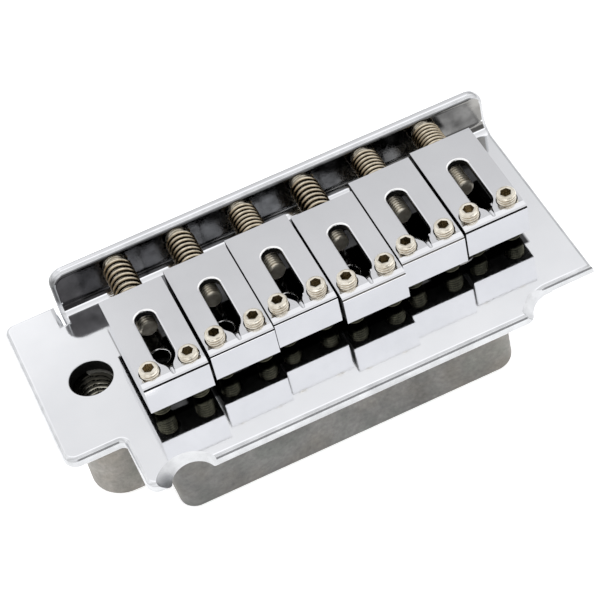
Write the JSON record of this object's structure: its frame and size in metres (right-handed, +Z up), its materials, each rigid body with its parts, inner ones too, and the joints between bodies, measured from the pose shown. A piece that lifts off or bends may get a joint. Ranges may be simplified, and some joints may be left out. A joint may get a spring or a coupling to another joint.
{
  "type": "guitar bridge",
  "caption": "Two-post tremolo bridge: chromed base plate with a bent-up lip, sustain block below, spring-loaded string saddles on intonation screws and height screws.",
  "frame": {"origin": "top face of the base plate, on the strings' centre line, 5 mm behind the plate's front edge", "axes": "+X across the strings, from the arm's side to the other; +Y from the pivot edge toward the bent-up lip; +Z up, out of the plate's top"},
  "size_m": [0.0826, 0.0414, 0.0322],
  "materials": {
    "chrome_plate": "polished chrome plating",
    "saddle_chrome": "polished chrome plating",
    "cast_block": "as-cast zinc grey, satin",
    "nickel": "nickel-plated thread",
    "spring_wire": "nickel-plated wire",
    "screw_steel": "plain"
  },
  "bodies": {
    "bridge": {"base_plate": "chrome_plate", "tremolo_block": "cast_block", "block_screw_1": "screw_steel", "block_screw_2": "screw_steel", "block_screw_3": "screw_steel"},
    "carriage_1": {"intonation_spring_1": "spring_wire"},
    "saddle_1": {"saddle_1": "saddle_chrome"},
    "height_screw_1a": {"height_screw_1a": "nickel"},
    "height_screw_1b": {"height_screw_1b": "nickel"},
    "intonation_screw_1": {"intonation_screw_1": "nickel"},
    "carriage_2": {"intonation_spring_2": "spring_wire"},
    "saddle_2": {"saddle_2": "saddle_chrome"},
    "height_screw_2a": {"height_screw_2a": "nickel"},
    "height_screw_2b": {"height_screw_2b": "nickel"},
    "intonation_screw_2": {"intonation_screw_2": "nickel"},
    "carriage_3": {"intonation_spring_3": "spring_wire"},
    "saddle_3": {"saddle_3": "saddle_chrome"},
    "height_screw_3a": {"height_screw_3a": "nickel"},
    "height_screw_3b": {"height_screw_3b": "nickel"},
    "intonation_screw_3": {"intonation_screw_3": "nickel"},
    "carriage_4": {"intonation_spring_4": "spring_wire"},
    "saddle_4": {"saddle_4": "saddle_chrome"},
    "height_screw_4a": {"height_screw_4a": "nickel"},
    "height_screw_4b": {"height_screw_4b": "nickel"},
    "intonation_screw_4": {"intonation_screw_4": "nickel"},
    "carriage_5": {"intonation_spring_5": "spring_wire"},
    "saddle_5": {"saddle_5": "saddle_chrome"},
    "height_screw_5a": {"height_screw_5a": "nickel"},
    "height_screw_5b": {"height_screw_5b": "nickel"},
    "intonation_screw_5": {"intonation_screw_5": "nickel"},
    "carriage_6": {"intonation_spring_6": "spring_wire"},
    "saddle_6": {"saddle_6": "saddle_chrome"},
    "height_screw_6a": {"height_screw_6a": "nickel"},
    "height_screw_6b": {"height_screw_6b": "nickel"},
    "intonation_screw_6": {"intonation_screw_6": "nickel"}
  },
  "joints": [
    {"name": "intonation_turn_1", "type": "hinge", "parent": "bridge", "child": "intonation_screw_1", "pos_m": [-0.02625, 0.03495, 0.005], "axis": [0, -1, 0], "range_deg": [-2160.5, 2160.5]},
    {"name": "saddle_travel_1", "type": "slide", "parent": "bridge", "child": "carriage_1", "axis": [0, 1, 0], "range_m": [-0.003, 0.003], "deforming": ["intonation_spring_1"]},
    {"name": "saddle_tilt_1", "type": "hinge", "parent": "carriage_1", "child": "saddle_1", "pos_m": [-0.02625, 0.035, 0.005], "axis": [-1, 0, 0], "range_deg": [-1.7, 1.7]},
    {"name": "height_turn_1a", "type": "hinge", "parent": "carriage_1", "child": "height_screw_1a", "pos_m": [-0.02958, 0.00715, 0.0003], "axis": [0, 0, -1], "range_deg": [-595, 595]},
    {"name": "height_turn_1b", "type": "hinge", "parent": "carriage_1", "child": "height_screw_1b", "pos_m": [-0.02342, 0.00715, 0.0003], "axis": [0, 0, -1], "range_deg": [-595, 595]},
    {"name": "intonation_turn_2", "type": "hinge", "parent": "bridge", "child": "intonation_screw_2", "pos_m": [-0.01575, 0.03495, 0.005], "axis": [0, -1, 0], "range_deg": [-2160.5, 2088.5]},
    {"name": "saddle_travel_2", "type": "slide", "parent": "bridge", "child": "carriage_2", "axis": [0, 1, 0], "range_m": [-0.003, 0.0029], "deforming": ["intonation_spring_2"]},
    {"name": "saddle_tilt_2", "type": "hinge", "parent": "carriage_2", "child": "saddle_2", "pos_m": [-0.01575, 0.035, 0.005], "axis": [-1, 0, 0], "range_deg": [-1.7, 1.7]},
    {"name": "height_turn_2a", "type": "hinge", "parent": "carriage_2", "child": "height_screw_2a", "pos_m": [-0.0188, 0.00835, 0.0003], "axis": [0, 0, -1], "range_deg": [-570, 570]},
    {"name": "height_turn_2b", "type": "hinge", "parent": "carriage_2", "child": "height_screw_2b", "pos_m": [-0.01264, 0.00835, 0.0003], "axis": [0, 0, -1], "range_deg": [-570, 570]},
    {"name": "intonation_turn_3", "type": "hinge", "parent": "bridge", "child": "intonation_screw_3", "pos_m": [-0.00525, 0.03495, 0.005], "axis": [0, -1, 0], "range_deg": [-2160.5, 1512.5]},
    {"name": "saddle_travel_3", "type": "slide", "parent": "bridge", "child": "carriage_3", "axis": [0, 1, 0], "range_m": [-0.003, 0.0021], "deforming": ["intonation_spring_3"]},
    {"name": "saddle_tilt_3", "type": "hinge", "parent": "carriage_3", "child": "saddle_3", "pos_m": [-0.00525, 0.035, 0.005], "axis": [-1, 0, 0], "range_deg": [-1.7, 1.7]},
    {"name": "height_turn_3a", "type": "hinge", "parent": "carriage_3", "child": "height_screw_3a", "pos_m": [-0.00838, 0.00915, 0.0003], "axis": [0, 0, -1], "range_deg": [-553, 553]},
    {"name": "height_turn_3b", "type": "hinge", "parent": "carriage_3", "child": "height_screw_3b", "pos_m": [-0.00222, 0.00915, 0.0003], "axis": [0, 0, -1], "range_deg": [-553, 553]},
    {"name": "intonation_turn_4", "type": "hinge", "parent": "bridge", "child": "intonation_screw_4", "pos_m": [0.00525, 0.03495, 0.005], "axis": [0, -1, 0], "range_deg": [-2160.5, 2160.5]},
    {"name": "saddle_travel_4", "type": "slide", "parent": "bridge", "child": "carriage_4", "axis": [0, 1, 0], "range_m": [-0.003, 0.003], "deforming": ["intonation_spring_4"]},
    {"name": "saddle_tilt_4", "type": "hinge", "parent": "carriage_4", "child": "saddle_4", "pos_m": [0.00525, 0.035, 0.005], "axis": [-1, 0, 0], "range_deg": [-1.7, 1.7]},
    {"name": "height_turn_4a", "type": "hinge", "parent": "carriage_4", "child": "height_screw_4a", "pos_m": [0.00214, 0.00795, 0.0003], "axis": [0, 0, -1], "range_deg": [-578, 578]},
    {"name": "height_turn_4b", "type": "hinge", "parent": "carriage_4", "child": "height_screw_4b", "pos_m": [0.0083, 0.00795, 0.0003], "axis": [0, 0, -1], "range_deg": [-578, 578]},
    {"name": "intonation_turn_5", "type": "hinge", "parent": "bridge", "child": "intonation_screw_5", "pos_m": [0.01575, 0.03495, 0.005], "axis": [0, -1, 0], "range_deg": [-2160.5, 1296.5]},
    {"name": "saddle_travel_5", "type": "slide", "parent": "bridge", "child": "carriage_5", "axis": [0, 1, 0], "range_m": [-0.003, 0.0018], "deforming": ["intonation_spring_5"]},
    {"name": "saddle_tilt_5", "type": "hinge", "parent": "carriage_5", "child": "saddle_5", "pos_m": [0.01575, 0.035, 0.005], "axis": [-1, 0, 0], "range_deg": [-1.7, 1.7]},
    {"name": "height_turn_5a", "type": "hinge", "parent": "carriage_5", "child": "height_screw_5a", "pos_m": [0.0125, 0.00945, 0.0003], "axis": [0, 0, -1], "range_deg": [-546, 546]},
    {"name": "height_turn_5b", "type": "hinge", "parent": "carriage_5", "child": "height_screw_5b", "pos_m": [0.01866, 0.00945, 0.0003], "axis": [0, 0, -1], "range_deg": [-546, 546]},
    {"name": "intonation_turn_6", "type": "hinge", "parent": "bridge", "child": "intonation_screw_6", "pos_m": [0.02625, 0.03495, 0.005], "axis": [0, -1, 0], "range_deg": [-2160.5, 720.5]},
    {"name": "saddle_travel_6", "type": "slide", "parent": "bridge", "child": "carriage_6", "axis": [0, 1, 0], "range_m": [-0.003, 0.001], "deforming": ["intonation_spring_6"]},
    {"name": "saddle_tilt_6", "type": "hinge", "parent": "carriage_6", "child": "saddle_6", "pos_m": [0.02625, 0.035, 0.005], "axis": [-1, 0, 0], "range_deg": [-1.7, 1.7]},
    {"name": "height_turn_6a", "type": "hinge", "parent": "carriage_6", "child": "height_screw_6a", "pos_m": [0.02322, 0.01025, 0.0003], "axis": [0, 0, -1], "range_deg": [-529, 529]},
    {"name": "height_turn_6b", "type": "hinge", "parent": "carriage_6", "child": "height_screw_6b", "pos_m": [0.02938, 0.01025, 0.0003], "axis": [0, 0, -1], "range_deg": [-529, 529]}
  ],
  "couplings": [
    {"joint": "intonation_turn_1", "follows": "saddle_travel_1", "rad_per_m": 12566},
    {"joint": "height_turn_1a", "follows": "saddle_tilt_1", "ratio": 349.97},
    {"joint": "height_turn_1b", "follows": "saddle_tilt_1", "ratio": 349.97},
    {"joint": "intonation_turn_2", "follows": "saddle_travel_2", "rad_per_m": 12566},
    {"joint": "height_turn_2a", "follows": "saddle_tilt_2", "ratio": 334.89},
    {"joint": "height_turn_2b", "follows": "saddle_tilt_2", "ratio": 334.89},
    {"joint": "intonation_turn_3", "follows": "saddle_travel_3", "rad_per_m": 12566},
    {"joint": "height_turn_3a", "follows": "saddle_tilt_3", "ratio": 324.84},
    {"joint": "height_turn_3b", "follows": "saddle_tilt_3", "ratio": 324.84},
    {"joint": "intonation_turn_4", "follows": "saddle_travel_4", "rad_per_m": 12566},
    {"joint": "height_turn_4a", "follows": "saddle_tilt_4", "ratio": 339.92},
    {"joint": "height_turn_4b", "follows": "saddle_tilt_4", "ratio": 339.92},
    {"joint": "intonation_turn_5", "follows": "saddle_travel_5", "rad_per_m": 12566},
    {"joint": "height_turn_5a", "follows": "saddle_tilt_5", "ratio": 321.07},
    {"joint": "height_turn_5b", "follows": "saddle_tilt_5", "ratio": 321.07},
    {"joint": "intonation_turn_6", "follows": "saddle_travel_6", "rad_per_m": 12566},
    {"joint": "height_turn_6a", "follows": "saddle_tilt_6", "ratio": 311.02},
    {"joint": "height_turn_6b", "follows": "saddle_tilt_6", "ratio": 311.02}
  ]
}
